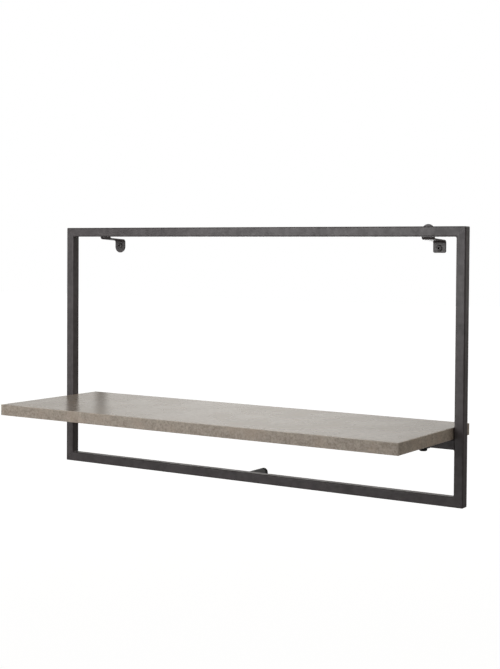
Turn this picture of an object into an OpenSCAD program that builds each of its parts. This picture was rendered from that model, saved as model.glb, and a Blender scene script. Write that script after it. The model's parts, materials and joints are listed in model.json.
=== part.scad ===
// Wall shelf: a laminated board in an upright frame of square steel tube.
// Two Z-shaped brackets and one spacer hold the frame off the wall.
// X runs along the shelf, +Y points into the wall and +Z points up.
// The origin is the centre of the board's back edge, on the wall plane.

/* [Frame] */
// Width over the two posts
frame_w = 650; // [500:10:1000]
// Height over the top and bottom rails
frame_h = 350; // [280:10:600]
// Side of the square steel tube
tube = 13; // [13:1:20]
// Wall thickness of the tube
tube_wall = 1.2; // [0.8:0.1:2]
// Rounding along the tube's long edges
tube_round = 1.6; // [0.8:0.1:1.8]
// Gap between the back of the frame and the wall
wall_gap = 37; // [30:1:80]
// Leg length of the weld beads in the frame's inner corners
weld_leg = 1.4; // [1:0.1:3]
// Width of the groove that shows where two mitred tubes meet
mitre_groove_w = 0.5; // [0.2:0.1:1]
// Depth of that groove
mitre_groove_d = 0.3; // [0.1:0.1:0.6]
// Rounding of the frame's four ground outer corners
corner_round = 1.5; // [0.5:0.1:3]

/* [Board] */
// Depth of the board, from its front edge to the wall
board_d = 200; // [150:5:300]
// Thickness of the board with its laminates
board_t = 15; // [15:1:25]
// Height of the board's top above the frame's underside
board_top_h = 100; // [60:5:180]
// Gap between each end of the board and the post beside it
board_gap = 1; // [0.5:0.1:3]
// Thickness of the laminate sheets on top and underneath
laminate_t = 0.5; // [0.3:0.1:1]
// Thickness of the edge bands
band_t = 1; // [1:0.1:2]
// Rounding of the edge bands along the board's outer edges
band_round = 0.8; // [0.3:0.1:1]

/* [Wall brackets] */
// Width of the bracket strip
strip_w = 18; // [16:1:25]
// Thickness of the bracket strip
strip_t = 2; // [1.5:0.1:3]
// Inside radius of the bracket's bends
strip_bend = 2.4; // [0.5:0.1:3]
// Fall of the bracket's web from the rail down to the wall
web_drop = 1.5; // [0.5:0.1:3]
// Length of the round-ended leg, measured over its bend
round_leg = 20; // [19:0.5:30]
// Length of the square-ended leg, measured over its bend
square_leg = 16.9; // [16:0.1:30]
// Corner radius of the square-ended leg
square_leg_round = 2.5; // [1:0.5:5]
// Distance from the outside of a bend to the hole in its leg
leg_hole_at = 10.3; // [9:0.1:12]
// Diameter of the holes in the legs
leg_hole_d = 5.5; // [5.2:0.1:7]
// Distance from the frame's left edge to the left bracket's middle
left_bracket_inset = 63; // [40:1:150]
// Distance from the frame's right edge to the right bracket's middle
right_bracket_inset = 58; // [40:1:150]

/* [Bracket screws] */
// Thread diameter of the bracket screws
screw_d = 5; // [4:0.1:5]
// Thread length of the bracket screws under the head
screw_len = 8; // [7:0.5:9]
// Head diameter of the bracket screws
screw_head_d = 9.5; // [8.5:0.1:12]
// Head height of the bracket screws
screw_head_h = 3.5; // [3:0.1:4]
// Body diameter of the rivet nuts in the top rail
nut_body_d = 7; // [6.5:0.1:8]
// Head diameter of the rivet nuts in the top rail
nut_head_d = 8.5; // [8.3:0.1:10]
// Head thickness of all the rivet nuts
nut_head_t = 0.5; // [0.4:0.1:1]
// Length of the rivet nuts' bodies inside the tubes
nut_body_len = 9; // [8:0.5:10]
// Diameter by which a set rivet nut bulges behind the tube's wall
nut_bulge = 1.6; // [1:0.1:2]

/* [Board bolts] */
// Distance from the frame's side edges to the board bolts
bolt_inset = 58; // [40:1:150]
// Thread diameter of the board bolts
bolt_d = 6; // [5:0.1:6]
// Length of bolt that reaches into the board
bolt_grip = 10.4; // [8:0.1:10.6]
// Head diameter of the board bolts
bolt_head_d = 10.5; // [9:0.1:12]
// Head height of the board bolts
bolt_head_h = 4.2; // [3.5:0.1:6]
// Width across the flats of the hexagon sockets
socket_af = 4; // [3:0.1:4.5]
// Diameter of the washers
washer_d = 18; // [12:0.1:20]
// Thickness of the washers
washer_t = 1.6; // [1:0.1:2]
// Outer diameter of the threaded inserts in the board
insert_d = 9.5; // [9:0.1:12]
// Length of the threaded inserts
insert_len = 11; // [10.8:0.1:12]

/* [Wall spacer] */
// Diameter of the spacer
spacer_d = 12.5; // [12:0.1:16]
// Length of the rubber tip that meets the wall
tip_len = 7; // [6:0.5:12]
// Rounding of the rubber tip's outer edge
tip_round = 2; // [1:0.1:3]
// Diameter of the neck that holds the rubber tip
neck_d = 8; // [7:0.1:9]
// Length of the neck inside the rubber tip
neck_len = 4; // [3:0.1:4.5]
// Thread diameter of the spacer's stud
stud_d = 6; // [5:0.1:6]
// Length of stud inside the spacer
stud_grip = 18; // [12:1:20]
// Body diameter of the rivet nut in the bottom rail
big_nut_body_d = 8.4; // [8:0.1:9]
// Head diameter of the rivet nut in the bottom rail
big_nut_head_d = 9.8; // [9.5:0.1:11]

/* [Fits] */
// Radial gap between a thread and the nut or insert around it
thread_gap = 0.05; // [0.03:0.01:0.1]
// Radial gap between a pressed-in piece and its hole
press_gap = 0.03; // [0.02:0.01:0.05]
// Radial gap between the board bolts and the holes they pass through
bolt_gap = 0.3; // [0.2:0.1:0.6]

/* [Hidden] */
$fn = 64;
// Cutting tools reach this far past the faces they cut
past = 1;

half_w = frame_w / 2;
inner_x = half_w - tube;
frame_back = -wall_gap;
tube_y = frame_back - tube / 2;
tube_flat = tube - 2 * tube_round;
tube_inner_round = max(tube_round - tube_wall, 0);

board_bottom = -board_t / 2;
board_top = board_t / 2;
board_w = 2 * (inner_x - board_gap);
core_w = board_w - 2 * band_t;
core_d = board_d - 2 * band_t;
core_t = board_t - 2 * laminate_t;
board_y = -board_d / 2;

frame_bottom = board_top - board_top_h;
frame_top = frame_bottom + frame_h;
top_rail_z = frame_top - tube / 2;
bottom_rail_z = frame_bottom + tube / 2;
cross_rail_bottom = board_bottom - tube;
cross_rail_z = board_bottom - tube / 2;

left_bracket_x = left_bracket_inset - half_w;
right_bracket_x = half_w - right_bracket_inset;
bracket_xs = [left_bracket_x, right_bracket_x];
bracket_front = frame_back + nut_head_t;
bracket_reach = -bracket_front;
bend_outer = strip_bend + strip_t;
web_bottom = top_rail_z - leg_hole_at;
screw_seat = bracket_front + strip_t;
head_round = 1.2;
cross_slot_w = 1.2;
cross_slot_l = 5;
cross_slot_depth = 1.8;
nut_bulge_len = 3;

bolt_x = half_w - bolt_inset;
bolt_len = washer_t + tube + bolt_grip;
bolt_head_round = 1.8;
socket_depth = 2.4;
insert_end_gap = 0.5;
insert_hole_depth = insert_len + insert_end_gap;
insert_barbs = 4;
barb_depth = 0.5;
barb_pitch = insert_len / insert_barbs;

spacer_front = frame_back + nut_head_t;
tip_start = -tip_len;
spacer_len = tip_start - spacer_front;
stud_in_nut = 8;
stud_end_gap = 1;
stud_hole_depth = stud_grip + stud_end_gap;
neck_end_gap = 0.2;
neck_hole_depth = neck_len + neck_end_gap;

// A rectangle with round corners, centred
module rounded_rectangle(size, r) {
    flat = [size[0] - 2 * r, size[1] - 2 * r];
    square([size[0], flat[1]], center = true);
    square([flat[0], size[1]], center = true);
    if (r > 0)
        for (x = [-1, 1], y = [-1, 1])
            translate([x * flat[0] / 2, y * flat[1] / 2]) circle(r);
}

// A solid square bar along X, centred, with its edges rounded
module bar_along_x(length, side, r) {
    rotate([0, 90, 0])
        linear_extrude(length, center = true) rounded_rectangle([side, side], r);
}

// A straight tube along X, centred
module tube_along_x(length) {
    difference() {
        bar_along_x(length, tube, tube_round);
        bar_along_x(length + 2 * past, tube - 2 * tube_wall, tube_inner_round);
    }
}

// Space between the mitres of a tube along X, its long side towards +Z, for the length of that side
module between_mitres(length) {
    top_x = length / 2 + past;
    bottom_x = length / 2 - tube - past;
    edge_z = tube / 2 + past;
    rotate([90, 0, 0])
        linear_extrude(tube + 2 * past, center = true)
            polygon([[-top_x, edge_z], [top_x, edge_z], [bottom_x, -edge_z], [-bottom_x, -edge_z]]);
}

// A tube along X with mitred ends, each stepped down round its edge for the groove
module mitred_tube(length) {
    over_all = length + 2 * past;
    difference() {
        intersection() {
            tube_along_x(over_all);
            between_mitres(length);
        }
        difference() {
            cube([over_all, tube + past, tube + past], center = true);
            between_mitres(length - mitre_groove_w * sqrt(2));
            bar_along_x(over_all + past, tube - 2 * mitre_groove_d, tube_round - mitre_groove_d);
        }
    }
}

// The frame's whole outline seen from the front, with its ground corners
module frame_outline() {
    translate([0, tube_y, frame_bottom + frame_h / 2])
        rotate([90, 0, 0])
            linear_extrude(tube + 2 * past, center = true)
                rounded_rectangle([frame_w, frame_h], corner_round);
}

// A solid turned about the Y axis from an outline of radius against depth behind its seat
module turned_towards_front() {
    rotate([90, 0, 0]) rotate_extrude() children();
}

// Half outline of a head: square at its seat, round at its outer edge
module head_outline(r, h, edge) {
    square([r - edge, h]);
    square([r, h - edge]);
    translate([r - edge, h - edge]) intersection() {
        circle(edge);
        square(edge);
    }
}

// A quarter-round bead along Y in the corner between two tubes
module weld_bead(towards_x, towards_z) {
    rotate([90, 0, 0])
        linear_extrude(tube_flat, center = true)
            intersection() {
                circle(weld_leg);
                translate([min(towards_x, 0) * weld_leg, min(towards_z, 0) * weld_leg]) square(weld_leg);
            }
}

// The frame: four mitred tubes, and a cross rail that carries the board

module top_rail() {
    color("dimgray") difference() {
        intersection() {
            translate([0, tube_y, top_rail_z]) mitred_tube(frame_w);
            frame_outline();
        }
        for (x = bracket_xs)
            translate([x, tube_y, top_rail_z])
                rotate([-90, 0, 0]) cylinder(d = nut_body_d + 2 * press_gap, h = tube);
    }
}

module bottom_rail() {
    color("dimgray") difference() {
        intersection() {
            translate([0, tube_y, bottom_rail_z]) rotate([180, 0, 0]) mitred_tube(frame_w);
            frame_outline();
        }
        translate([0, tube_y, bottom_rail_z])
            rotate([-90, 0, 0]) cylinder(d = big_nut_body_d + 2 * press_gap, h = tube);
    }
}

// A post on the side given as -1 for left or 1 for right
module post(side) {
    intersection() {
        translate([side * (half_w - tube / 2), tube_y, frame_bottom + frame_h / 2])
            rotate([0, side * 90, 0]) mitred_tube(frame_h);
        frame_outline();
    }
}

module left_post() {
    color("dimgray") post(-1);
}

module right_post() {
    color("dimgray") post(1);
}

module cross_rail() {
    color("dimgray") difference() {
        translate([0, tube_y, cross_rail_z]) tube_along_x(2 * inner_x);
        for (side = [-1, 1])
            translate([side * bolt_x, tube_y, cross_rail_bottom - past])
                cylinder(d = bolt_d + 2 * bolt_gap, h = tube + 2 * past);
    }
}

module corner_weld_beads() {
    color("dimgray") for (x = [-1, 1]) {
        translate([x * inner_x, tube_y, frame_bottom + tube]) weld_bead(-x, 1);
        translate([x * inner_x, tube_y, frame_top - tube]) weld_bead(-x, -1);
    }
}

module cross_rail_weld_beads() {
    color("dimgray") for (x = [-1, 1])
        translate([x * inner_x, tube_y, cross_rail_bottom]) weld_bead(-x, -1);
}

// The board: a chipboard core between two laminates, with a band on each edge

// Holes for the threaded inserts, open at the board's underside
module insert_holes() {
    for (side = [-1, 1])
        translate([side * bolt_x, tube_y, board_bottom - past])
            cylinder(d = insert_d + 2 * press_gap, h = insert_hole_depth + past);
}

module board_core() {
    color("burlywood") difference() {
        translate([0, board_y, 0]) cube([core_w, core_d, core_t], center = true);
        insert_holes();
    }
}

// A laminate sheet whose underside lies at the height z
module laminate(z) {
    translate([-core_w / 2, board_y - core_d / 2, z]) cube([core_w, core_d, laminate_t]);
}

module top_laminate() {
    color("silver") laminate(core_t / 2);
}

module bottom_laminate() {
    color("silver") difference() {
        laminate(board_bottom);
        insert_holes();
    }
}

// The board's whole outline seen from above
module board_plan() {
    translate([0, board_y, board_bottom - past])
        linear_extrude(board_t + 2 * past) rounded_rectangle([board_w, board_d], band_round);
}

// A band along X, centred, with its outer side rounded at the top and bottom towards -Y
module band(length) {
    rotate([90, 0, 90])
        linear_extrude(length, center = true)
            intersection() {
                translate([board_t / 2, 0]) rounded_rectangle([board_t, board_t], band_round);
                translate([0, -board_t / 2]) square([band_t, board_t]);
            }
}

module front_edge_band() {
    color("gray") intersection() {
        translate([0, -board_d, 0]) band(board_w);
        board_plan();
    }
}

module back_edge_band() {
    color("gray") intersection() {
        rotate([0, 0, 180]) band(board_w);
        board_plan();
    }
}

module left_edge_band() {
    color("gray") translate([-board_w / 2, board_y, 0]) rotate([0, 0, -90]) band(core_d);
}

module right_edge_band() {
    color("gray") translate([board_w / 2, board_y, 0]) rotate([0, 0, 90]) band(core_d);
}

// The wall brackets: one pressing with two unlike legs, the right one turned over

// Outline of a leg from 0 up to its length, with its end corners rounded
module leg_outline(length, r) {
    translate([-strip_w / 2, 0]) square([strip_w, length - r]);
    if (strip_w > 2 * r)
        translate([r - strip_w / 2, 0]) square([strip_w - 2 * r, length]);
    for (side = [-1, 1])
        translate([side * (strip_w / 2 - r), length - r]) circle(r);
}

// Quarter of a ring round the bend's centre, towards -Y and -Z
module bend_outline() {
    intersection() {
        difference() {
            circle(bend_outer);
            circle(strip_bend);
        }
        translate([-bend_outer, -bend_outer]) square(bend_outer);
    }
}

// Side view of the bracket: a leg up at the rail, a web, and a leg down at the wall
module bracket_side(up, down) {
    wall_bend = bracket_reach - bend_outer;
    translate([0, bend_outer]) square([strip_t, up - bend_outer]);
    translate([bend_outer, bend_outer]) bend_outline();
    polygon([[bend_outer, 0], [wall_bend, -web_drop], [wall_bend, strip_t - web_drop], [bend_outer, strip_t]]);
    translate([wall_bend, strip_t - web_drop - bend_outer]) rotate(180) bend_outline();
    translate([bracket_reach - strip_t, strip_t - web_drop - down]) square([strip_t, down - bend_outer]);
}

// A bracket at the place x, with the length and corner radius of each leg
module wall_bracket(x, up, up_round, down, down_round) {
    translate([x, bracket_front, web_bottom]) difference() {
        intersection() {
            rotate([90, 0, 90])
                linear_extrude(strip_w, center = true) bracket_side(up, down);
            translate([0, bracket_reach + past, 0])
                rotate([90, 0, 0])
                    linear_extrude(bracket_reach + 2 * past) {
                        leg_outline(up, up_round);
                        mirror([0, 1]) leg_outline(down + web_drop - strip_t, down_round);
                    }
        }
        translate([0, -past, leg_hole_at])
            rotate([-90, 0, 0]) cylinder(d = leg_hole_d, h = strip_t + 2 * past);
        translate([0, bracket_reach - strip_t - past, strip_t - web_drop - leg_hole_at])
            rotate([-90, 0, 0]) cylinder(d = leg_hole_d, h = strip_t + 2 * past);
    }
}

module left_wall_bracket() {
    color("darkslategray")
        wall_bracket(left_bracket_x, square_leg, square_leg_round, round_leg, strip_w / 2);
}

module right_wall_bracket() {
    color("darkslategray")
        wall_bracket(right_bracket_x, round_leg, strip_w / 2, square_leg, square_leg_round);
}

// A set rivet nut with its seat on the tube's back face and its body inside the tube
module rivet_nut(body_d, head_d, thread_d) {
    rotate([180, 0, 0]) turned_towards_front() difference() {
        union() {
            square([head_d / 2, nut_head_t]);
            translate([0, -nut_body_len]) square([body_d / 2, nut_body_len]);
            translate([0, -tube_wall - nut_bulge_len])
                square([(body_d + nut_bulge) / 2, nut_bulge_len]);
        }
        translate([0, -nut_body_len - past])
            square([thread_d / 2 + thread_gap, nut_body_len + nut_head_t + 2 * past]);
    }
}

module bracket_rivet_nuts() {
    color("silver") for (x = bracket_xs)
        translate([x, frame_back, top_rail_z]) rivet_nut(nut_body_d, nut_head_d, screw_d);
}

// A cross cut into a screw's head
module cross_recess() {
    for (turn = [0, 90])
        rotate([0, turn, 0])
            cube([cross_slot_w, 2 * cross_slot_depth, cross_slot_l], center = true);
}

module bracket_screws() {
    color("black") for (x = bracket_xs)
        translate([x, screw_seat, top_rail_z]) difference() {
            union() {
                rotate([-90, 0, 0])
                    rotate_extrude() head_outline(screw_head_d / 2, screw_head_h, head_round);
                rotate([90, 0, 0]) cylinder(d = screw_d, h = screw_len);
            }
            translate([0, screw_head_h, 0]) cross_recess();
        }
}

// The board's fastening: bolts from below, through the cross rail, into inserts

module board_inserts() {
    color("goldenrod") for (side = [-1, 1])
        translate([side * bolt_x, tube_y, board_bottom]) rotate_extrude() difference() {
            square([insert_d / 2, insert_len]);
            translate([0, -past]) square([bolt_d / 2 + thread_gap, insert_len + 2 * past]);
            for (i = [1 : insert_barbs])
                translate([insert_d / 2, (i - 0.5) * barb_pitch]) circle(barb_depth);
        }
}

module board_washers() {
    color("silver") for (side = [-1, 1])
        translate([side * bolt_x, tube_y, cross_rail_bottom - washer_t]) difference() {
            cylinder(d = washer_d, h = washer_t);
            translate([0, 0, -past]) cylinder(d = bolt_d + 2 * bolt_gap, h = washer_t + 2 * past);
        }
}

module board_bolts() {
    socket_corner_r = socket_af / 2 / cos(30);
    color("black") for (side = [-1, 1])
        translate([side * bolt_x, tube_y, cross_rail_bottom - washer_t]) difference() {
            union() {
                rotate([180, 0, 0])
                    rotate_extrude() head_outline(bolt_head_d / 2, bolt_head_h, bolt_head_round);
                cylinder(d = bolt_d, h = bolt_len);
            }
            translate([0, 0, -bolt_head_h - past])
                cylinder(r = socket_corner_r, h = socket_depth + past, $fn = 6);
        }
}

// The spacer: a rivet nut, a stud, a body and a rubber tip on one axis

module spacer_rivet_nut() {
    color("silver") translate([0, frame_back, bottom_rail_z])
        rivet_nut(big_nut_body_d, big_nut_head_d, stud_d);
}

module spacer_stud() {
    color("silver") translate([0, frame_back - stud_in_nut, bottom_rail_z])
        rotate([-90, 0, 0]) cylinder(d = stud_d, h = stud_in_nut + nut_head_t + stud_grip);
}

module spacer_body() {
    color("black") translate([0, spacer_front, bottom_rail_z]) rotate([-90, 0, 0]) difference() {
        union() {
            cylinder(d = spacer_d, h = spacer_len);
            cylinder(d = neck_d, h = spacer_len + neck_len);
        }
        translate([0, 0, -past])
            cylinder(d = stud_d + 2 * thread_gap, h = stud_hole_depth + past);
    }
}

module spacer_tip() {
    color("black") translate([0, tip_start, bottom_rail_z]) rotate([-90, 0, 0]) difference() {
        rotate_extrude() head_outline(spacer_d / 2, tip_len, tip_round);
        translate([0, 0, -past])
            cylinder(d = neck_d + 2 * press_gap, h = neck_hole_depth + past);
    }
}

top_rail();
bottom_rail();
left_post();
right_post();
cross_rail();
corner_weld_beads();
cross_rail_weld_beads();
board_core();
top_laminate();
bottom_laminate();
front_edge_band();
back_edge_band();
left_edge_band();
right_edge_band();
left_wall_bracket();
right_wall_bracket();
bracket_rivet_nuts();
bracket_screws();
board_inserts();
board_washers();
board_bolts();
spacer_rivet_nut();
spacer_stud();
spacer_body();
spacer_tip();
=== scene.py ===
"""Looks of a wall shelf: a concrete-look board in a frame of square steel tube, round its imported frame."""

import json
import logging
import math
from abc import ABC, abstractmethod
from dataclasses import dataclass, replace
from enum import Enum

import bmesh
import bpy
import numpy as np
from mathutils import Euler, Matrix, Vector


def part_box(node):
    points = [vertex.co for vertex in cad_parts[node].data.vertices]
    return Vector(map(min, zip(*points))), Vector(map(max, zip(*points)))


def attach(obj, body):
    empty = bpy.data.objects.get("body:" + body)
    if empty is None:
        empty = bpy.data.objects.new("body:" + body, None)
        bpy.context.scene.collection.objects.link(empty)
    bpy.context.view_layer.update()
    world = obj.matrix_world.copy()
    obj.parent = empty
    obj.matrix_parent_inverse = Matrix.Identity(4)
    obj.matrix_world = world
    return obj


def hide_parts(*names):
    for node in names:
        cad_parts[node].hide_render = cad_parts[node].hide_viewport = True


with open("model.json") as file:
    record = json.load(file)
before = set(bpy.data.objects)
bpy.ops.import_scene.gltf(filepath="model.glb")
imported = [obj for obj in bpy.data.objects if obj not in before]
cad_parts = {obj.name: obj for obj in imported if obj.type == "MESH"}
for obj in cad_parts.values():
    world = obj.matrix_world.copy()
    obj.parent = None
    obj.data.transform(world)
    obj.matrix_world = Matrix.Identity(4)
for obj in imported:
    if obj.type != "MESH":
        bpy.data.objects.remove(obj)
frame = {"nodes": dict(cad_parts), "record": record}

logging.basicConfig(level=logging.INFO, format="%(message)s")
log = logging.getLogger("wall_shelf")

MM = 0.001
ROOT = "root"

Triple = tuple[float, float, float]
Input = float | tuple[float, ...] | bpy.types.NodeSocket

ORIGIN: Triple = (0.0, 0.0, 0.0)
ONES: Triple = (1.0, 1.0, 1.0)


# Node graphs


class Graph:
    """A node tree that is being filled, with one short call for each node."""

    def __init__(self, tree: bpy.types.NodeTree) -> None:
        """Takes the tree to fill.

        Args:
            tree: An empty material, world or group tree.
        """
        self.tree = tree

    def add(
        self, kind: str, inputs: dict[str | int, Input] | None = None, **settings: object
    ) -> bpy.types.Node:
        """Adds a node, sets it up and links what it reads.

        Args:
            kind: The node's Blender type.
            inputs: Sockets by name or number, each with a constant or the socket that feeds it.
            **settings: Properties of the node.

        Returns:
            The new node.
        """
        made = self.tree.nodes.new(kind)
        for name, value in settings.items():
            setattr(made, name, value)
        self.feed(made, inputs or {})
        return made

    def feed(self, made: bpy.types.Node, inputs: dict[str | int, Input]) -> None:
        """Gives a node's sockets constants or links.

        Args:
            made: The node.
            inputs: Sockets by number or name, where an underscore stands for a space.
        """
        for name, value in inputs.items():
            socket = made.inputs[name.replace("_", " ") if isinstance(name, str) else name]
            if isinstance(value, bpy.types.NodeSocket):
                self.tree.links.new(value, socket)
            else:
                socket.default_value = value

    def maths(self, operation: str, *values: Input) -> bpy.types.NodeSocket:
        """Adds a Math node and returns its result."""
        return self.add("ShaderNodeMath", dict(enumerate(values)), operation=operation).outputs[0]

    def vectors(self, operation: str, *values: Input) -> bpy.types.NodeSocket:
        """Adds a Vector Math node and returns its result, which is a number for a length or a dot product."""
        made = self.add("ShaderNodeVectorMath", dict(enumerate(values)), operation=operation)
        return made.outputs["Value" if operation in ("LENGTH", "DOT_PRODUCT") else "Vector"]

    def parts(self, vector: Input) -> tuple[bpy.types.NodeSocket, ...]:
        """Splits a vector and returns its X, Y and Z."""
        return tuple(self.add("ShaderNodeSeparateXYZ", {0: vector}).outputs)

    def noise(
        self, place: Input, scale: Input, detail: Input, roughness: float = 0.5
    ) -> bpy.types.NodeSocket:
        """Adds a noise and returns it, from nought to one."""
        inputs = {"Vector": place, "Scale": scale, "Detail": detail, "Roughness": roughness}
        return self.add("ShaderNodeTexNoise", inputs).outputs["Fac"]

    def ramp(
        self, value: Input, low: float, high: float, start: float = 0.0, end: float = 1.0
    ) -> bpy.types.NodeSocket:
        """Turns a value between low and high smoothly into one between start and end, and returns it."""
        inputs = {"Value": value, "From Min": low, "From Max": high, "To Min": start, "To Max": end}
        return self.add("ShaderNodeMapRange", inputs, interpolation_type="SMOOTHSTEP").outputs["Result"]

    def mix(self, factor: Input, first: Input, second: Input) -> bpy.types.NodeSocket:
        """Mixes two colours by a factor and returns the result."""
        return self.add("ShaderNodeMix", {0: factor, 6: first, 7: second}, data_type="RGBA").outputs[2]

    def place(self) -> bpy.types.NodeSocket:
        """Adds the Object coordinates, in metres from the shelf's origin."""
        return self.add("ShaderNodeTexCoord").outputs["Object"]


def emptied(holder: bpy.types.Material | bpy.types.World) -> Graph:
    """Gives a material or a world an empty node tree and returns the graph to fill.

    Args:
        holder: The material or world.

    Returns:
        Its graph.
    """
    holder.use_nodes = True
    holder.node_tree.nodes.clear()
    return Graph(holder.node_tree)


def rgba(colour: Triple) -> tuple[float, float, float, float]:
    """Adds a full alpha to a linear colour."""
    return (*colour, 1.0)


# Shared surface effects, each a node group


class Effect(Enum):
    """The effects that more than one finish uses."""

    CLOUDS = "soft_clouds"
    SPECKS = "fine_specks"
    GRAIN = "fine_grain"
    ARRIS = "rounded_arris"
    BORDER = "border_line"
    MITRE = "mitre_line"
    BRUSHING = "brushed_lines"


class EffectShelf:
    """Builds each shared effect once, and places it in a finish's graph with that finish's own values."""

    speck_edge: float = 0.06
    flat_cosine: float = 0.995
    round_cosine: float = 0.88

    def __init__(self) -> None:
        """Starts with no effect built."""
        self.built: dict[Effect, bpy.types.NodeTree] = {}
        self.makers = {
            Effect.CLOUDS: self._clouds,
            Effect.SPECKS: self._specks,
            Effect.GRAIN: self._grain,
            Effect.ARRIS: self._arris,
            Effect.BORDER: self._border,
            Effect.MITRE: self._mitre,
            Effect.BRUSHING: self._brushing,
        }

    def use(self, graph: Graph, effect: Effect, **inputs: Input) -> bpy.types.NodeSocket:
        """Places an effect in a graph.

        Args:
            graph: The graph of the material that uses it.
            effect: Which effect.
            **inputs: The group's named inputs, with underscores for spaces.

        Returns:
            The effect's one output.
        """
        if effect not in self.built:
            self.built[effect] = self.makers[effect](effect.value)
        made = graph.add("ShaderNodeGroup", node_tree=self.built[effect])
        graph.feed(made, inputs)
        return made.outputs[0]

    @staticmethod
    def _open(
        name: str, inputs: dict[str, float | tuple[float, ...]], output: str
    ) -> tuple[Graph, dict[str, bpy.types.NodeSocket]]:
        """Makes an empty group with its sockets.

        Args:
            name: The group's name.
            inputs: Socket names with their defaults; a triple makes a vector socket.
            output: The name of its one output, a number.

        Returns:
            The graph to fill and what the group is given, by socket name.
        """
        tree = bpy.data.node_groups.new(name, "ShaderNodeTree")
        for title, default in inputs.items():
            kind = "NodeSocketVector" if isinstance(default, tuple) else "NodeSocketFloat"
            tree.interface.new_socket(title, in_out="INPUT", socket_type=kind).default_value = default
        tree.interface.new_socket(output, in_out="OUTPUT", socket_type="NodeSocketFloat")
        graph = Graph(tree)
        given = graph.add("NodeGroupInput").outputs
        return graph, {title: given[title] for title in inputs}

    @staticmethod
    def _close(graph: Graph, result: bpy.types.NodeSocket) -> bpy.types.NodeTree:
        """Links a group's result to its output and returns the group."""
        graph.add("NodeGroupOutput", {0: result})
        return graph.tree

    @staticmethod
    def _inwards(graph: Graph, given: dict[str, bpy.types.NodeSocket]) -> tuple[bpy.types.NodeSocket, ...]:
        """Adds how far in from the sides of a box a place is, along X, Y and Z."""
        away = graph.vectors("ABSOLUTE", graph.vectors("SUBTRACT", given["Vector"], given["Centre"]))
        return graph.parts(graph.vectors("SUBTRACT", given["Half Size"], away))

    def _clouds(self, name: str) -> bpy.types.NodeTree:
        """Soft clouds about a middle of one half: half plus contrast times (noise minus half).

        Args:
            name: The group's name.

        Returns:
            The group.
        """
        sockets = {"Vector": ORIGIN, "Scale": 10.0, "Detail": 4.0, "Contrast": 1.0}
        graph, given = self._open(name, sockets, "Cloud")
        offset = graph.maths("SUBTRACT", graph.noise(given["Vector"], given["Scale"], given["Detail"]), 0.5)
        return self._close(graph, graph.maths("MULTIPLY_ADD", offset, given["Contrast"], 0.5))

    def _specks(self, name: str) -> bpy.types.NodeTree:
        """Small separate specks: one where a fine noise passes a threshold, and nought elsewhere.

        Args:
            name: The group's name.

        Returns:
            The group.
        """
        graph, given = self._open(name, {"Vector": ORIGIN, "Scale": 500.0, "Threshold": 0.62}, "Speck")
        noise = graph.noise(given["Vector"], given["Scale"], detail=3.0, roughness=0.6)
        over = graph.maths("SUBTRACT", noise, given["Threshold"])
        return self._close(graph, graph.ramp(over, 0.0, self.speck_edge))

    def _grain(self, name: str) -> bpy.types.NodeTree:
        """The height of a fine grain, as on powder coat: a coarse noise with a finer one on it.

        Args:
            name: The group's name.

        Returns:
            The group.
        """
        sockets = {"Vector": ORIGIN, "Coarse Scale": 700.0, "Fine Scale": 2600.0, "Fine Share": 0.35}
        graph, given = self._open(name, sockets, "Height")
        coarse = graph.noise(given["Vector"], given["Coarse Scale"], detail=2.0)
        fine = graph.noise(given["Vector"], given["Fine Scale"], detail=2.0)
        return self._close(graph, graph.maths("MULTIPLY_ADD", fine, given["Fine Share"], coarse))

    def _arris(self, name: str) -> bpy.types.NodeTree:
        """A mask of rounded edges: one where the normal lies between two row axes, nought on the flat faces.

        Args:
            name: The group's name.

        Returns:
            The group.
        """
        graph, given = self._open(name, {"Strength": 1.0}, "Mask")
        normal = graph.add("ShaderNodeNewGeometry").outputs["Normal"]
        x, y, z = graph.parts(graph.vectors("ABSOLUTE", normal))
        largest = graph.maths("MAXIMUM", graph.maths("MAXIMUM", x, y), z)
        mask = graph.ramp(largest, self.flat_cosine, self.round_cosine)
        return self._close(graph, graph.maths("MULTIPLY", mask, given["Strength"]))

    def _border(self, name: str) -> bpy.types.NodeTree:
        """A thin line along the border of a rectangle in X and Y: one within half the width from its edge.

        Args:
            name: The group's name.

        Returns:
            The group.
        """
        sockets = {"Vector": ORIGIN, "Centre": ORIGIN, "Half Size": ONES, "Width": 0.2 * MM}
        graph, given = self._open(name, sockets, "Line")
        x, y, _ = self._inwards(graph, given)
        share = graph.maths("DIVIDE", graph.maths("MINIMUM", x, y), given["Width"])
        return self._close(graph, graph.ramp(share, 1.0, 0.5))

    def _mitre(self, name: str) -> bpy.types.NodeTree:
        """Lines on the diagonals of a frame's corners.

        They are one where the place in from the outer corner is alike in X and in Z, within the width and
        inside the tube, and nought elsewhere.

        Args:
            name: The group's name.

        Returns:
            The group.
        """
        sockets = {"Vector": ORIGIN, "Centre": ORIGIN, "Half Size": ONES, "Tube": 13 * MM, "Width": 0.6 * MM}
        graph, given = self._open(name, sockets, "Line")
        x, _, z = self._inwards(graph, given)
        unlike = graph.maths("ABSOLUTE", graph.maths("SUBTRACT", x, z))
        line = graph.ramp(graph.maths("DIVIDE", unlike, given["Width"]), 1.0, 0.4)
        inside = graph.maths("LESS_THAN", graph.maths("MAXIMUM", x, z), given["Tube"])
        return self._close(graph, graph.maths("MULTIPLY", line, inside))

    def _brushing(self, name: str) -> bpy.types.NodeTree:
        """Fine lines along one direction: a noise whose places are squeezed along that axis.

        Args:
            name: The group's name.

        Returns:
            The group.
        """
        graph, given = self._open(name, {"Vector": ORIGIN, "Stretch": ONES, "Scale": 900.0}, "Line")
        stretched = graph.vectors("MULTIPLY", given["Vector"], given["Stretch"])
        return self._close(graph, graph.noise(stretched, given["Scale"], detail=3.0))


EFFECTS = EffectShelf()


# Finishes


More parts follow.
